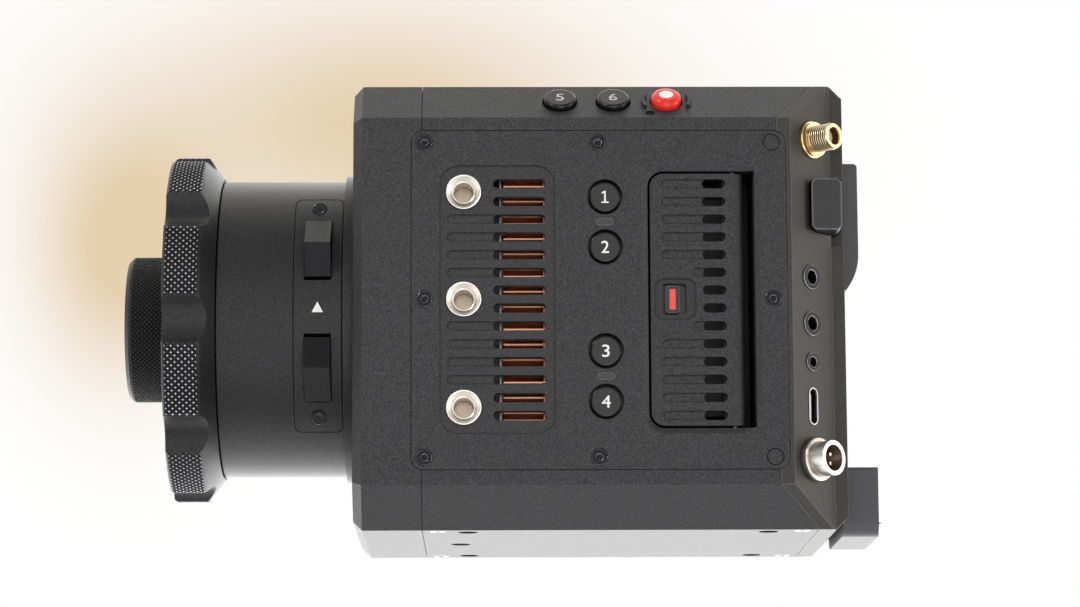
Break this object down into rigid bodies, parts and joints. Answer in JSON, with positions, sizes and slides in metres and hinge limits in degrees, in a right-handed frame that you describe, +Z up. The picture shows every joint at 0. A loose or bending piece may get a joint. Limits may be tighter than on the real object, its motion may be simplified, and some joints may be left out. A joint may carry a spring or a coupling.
{
  "type": "digital cinema camera",
  "caption": "Box-shaped digital cinema camera with a filter-drawer lens adapter, lobed locking ring, body cap, vented side cover, hinged media door, buttons and battery plate.",
  "frame": {"origin": "middle of the base face of the body, half way between its front face and its rear face", "axes": "-X is the way the lens looks, -Y is the operator's left-hand side cover with the vent and door, +Z is up"},
  "size_m": [0.1943, 0.0939, 0.1138],
  "materials": {
    "body_black": "fine bead-blasted black anodised aluminium",
    "rear_black": "fine bead-blasted black anodised aluminium, slightly warmer",
    "ring_black": "satin black anodised aluminium, knurled grips",
    "black_plastic": "fine matt black moulded plastic",
    "copper": "bare copper",
    "nickel": "satin nickel plate",
    "gold": "gold plate",
    "steel": "plain turned steel",
    "board": "green solder mask",
    "record_red": "semi-gloss red plastic",
    "clear": "clear coated glass",
    "white_plastic": "white plastic"
  },
  "bodies": {
    "body": {"front_frame": "body_black", "main_housing": "body_black", "base_housing": "body_black", "rear_cover": "rear_black", "side_cover": "body_black", "right_cover": "body_black", "side_cover_screws": "ring_black", "right_cover_screws": "ring_black", "cover_plugs": "body_black", "base_screws": "ring_black", "threaded_inserts": "nickel", "copper_heat_sink": "copper", "heat_spreader": "steel", "fan_frame": "black_plastic", "chassis_plate": "steel", "main_board": "board", "power_board": "board", "button_board": "board", "io_board": "board", "media_bay": "black_plastic", "media_module": "ring_black", "door_hinge_pin": "steel", "indicator_windows": "black_plastic", "mount_ring": "ring_black", "adapter_barrel": "ring_black", "lens_seat": "steel", "sensor_carrier": "ring_black", "sensor_window": "clear", "image_sensor": "black_plastic", "sensor_board": "board", "battery_receiver": "ring_black", "contact_block": "black_plastic", "contact_pins": "gold", "antenna_connector": "gold", "antenna_insulator": "white_plastic", "mic_jack": "steel", "headphone_jack": "steel", "remote_jack": "steel", "usb_port": "steel", "power_connector": "nickel", "connector_pins": "gold"},
    "door": {"media_door": "body_black"},
    "latch": {"door_latch": "black_plastic"},
    "cap": {"body_cap": "black_plastic"},
    "ring": {"locking_ring": "ring_black"},
    "tray": {"filter_tray": "ring_black", "filter_glass": "clear", "tray_screws": "ring_black"},
    "tab_upper": {"tray_tab_upper": "black_plastic"},
    "tab_lower": {"tray_tab_lower": "black_plastic"},
    "fan": {"fan_rotor": "black_plastic"},
    "pawl": {"battery_latch": "steel"},
    "release": {"battery_release_button": "black_plastic"},
    "key_1": {"button_1": "black_plastic"},
    "key_2": {"button_2": "black_plastic"},
    "key_3": {"button_3": "black_plastic"},
    "key_4": {"button_4": "black_plastic"},
    "key_5": {"button_5": "black_plastic"},
    "key_6": {"button_6": "black_plastic"},
    "record": {"record_button": "record_red"}
  },
  "joints": [
    {"name": "button_1_press", "type": "slide", "parent": "body", "child": "key_1", "axis": [0, 1, 0], "range_m": [0, 0.0008], "stiffness_N_per_m": 400},
    {"name": "button_2_press", "type": "slide", "parent": "body", "child": "key_2", "axis": [0, 1, 0], "range_m": [0, 0.0008], "stiffness_N_per_m": 400},
    {"name": "button_3_press", "type": "slide", "parent": "body", "child": "key_3", "axis": [0, 1, 0], "range_m": [0, 0.0008], "stiffness_N_per_m": 400},
    {"name": "button_4_press", "type": "slide", "parent": "body", "child": "key_4", "axis": [0, 1, 0], "range_m": [0, 0.0008], "stiffness_N_per_m": 400},
    {"name": "button_5_press", "type": "slide", "parent": "body", "child": "key_5", "axis": [0, 0.7071, -0.7071], "range_m": [0, 0.0008], "stiffness_N_per_m": 400},
    {"name": "button_6_press", "type": "slide", "parent": "body", "child": "key_6", "axis": [0, 0.7071, -0.7071], "range_m": [0, 0.0008], "stiffness_N_per_m": 400},
    {"name": "record_press", "type": "slide", "parent": "body", "child": "record", "axis": [0, 0.7071, -0.7071], "range_m": [0, 0.0008], "stiffness_N_per_m": 400},
    {"name": "media_door_swing", "type": "hinge", "parent": "body", "child": "door", "pos_m": [0.0334, -0.0426, 0.0571], "axis": [0, 0, 1], "range_deg": [0, 105]},
    {"name": "door_latch_slide", "type": "slide", "parent": "door", "child": "latch", "axis": [1, 0, 0], "range_m": [0, 0.0015], "stiffness_N_per_m": 150},
    {"name": "release_press", "type": "slide", "parent": "body", "child": "release", "axis": [0, 1, 0], "range_m": [0, 0.0025], "stiffness_N_per_m": 400},
    {"name": "battery_latch_slide", "type": "slide", "parent": "body", "child": "pawl", "axis": [-1, 0, 0], "range_m": [0, 0.003]},
    {"name": "filter_tray_slide", "type": "slide", "parent": "body", "child": "tray", "axis": [0, -1, 0], "range_m": [0, 0.066]},
    {"name": "tray_tab_upper_pinch", "type": "slide", "parent": "tray", "child": "tab_upper", "axis": [0, 0, -1], "range_m": [0, 0.0008], "stiffness_N_per_m": 150},
    {"name": "tray_tab_lower_pinch", "type": "slide", "parent": "tray", "child": "tab_lower", "axis": [0, 0, 1], "range_m": [0, 0.0008], "stiffness_N_per_m": 150},
    {"name": "locking_ring_turn", "type": "hinge", "parent": "body", "child": "ring", "pos_m": [-0.1036, 0, 0.0567], "axis": [1, 0, 0], "range_deg": [0, 60]},
    {"name": "body_cap_slide", "type": "slide", "parent": "body", "child": "cap", "axis": [-1, 0, 0], "range_m": [0, 0.03]},
    {"name": "fan_spin", "type": "hinge", "parent": "body", "child": "fan", "pos_m": [-0.00025, -0.0194, 0.0571], "axis": [1, 0, 0], "continuous": true}
  ],
  "couplings": [
    {"joint": "battery_latch_slide", "follows": "release_press", "ratio": 1.2}
  ]
}
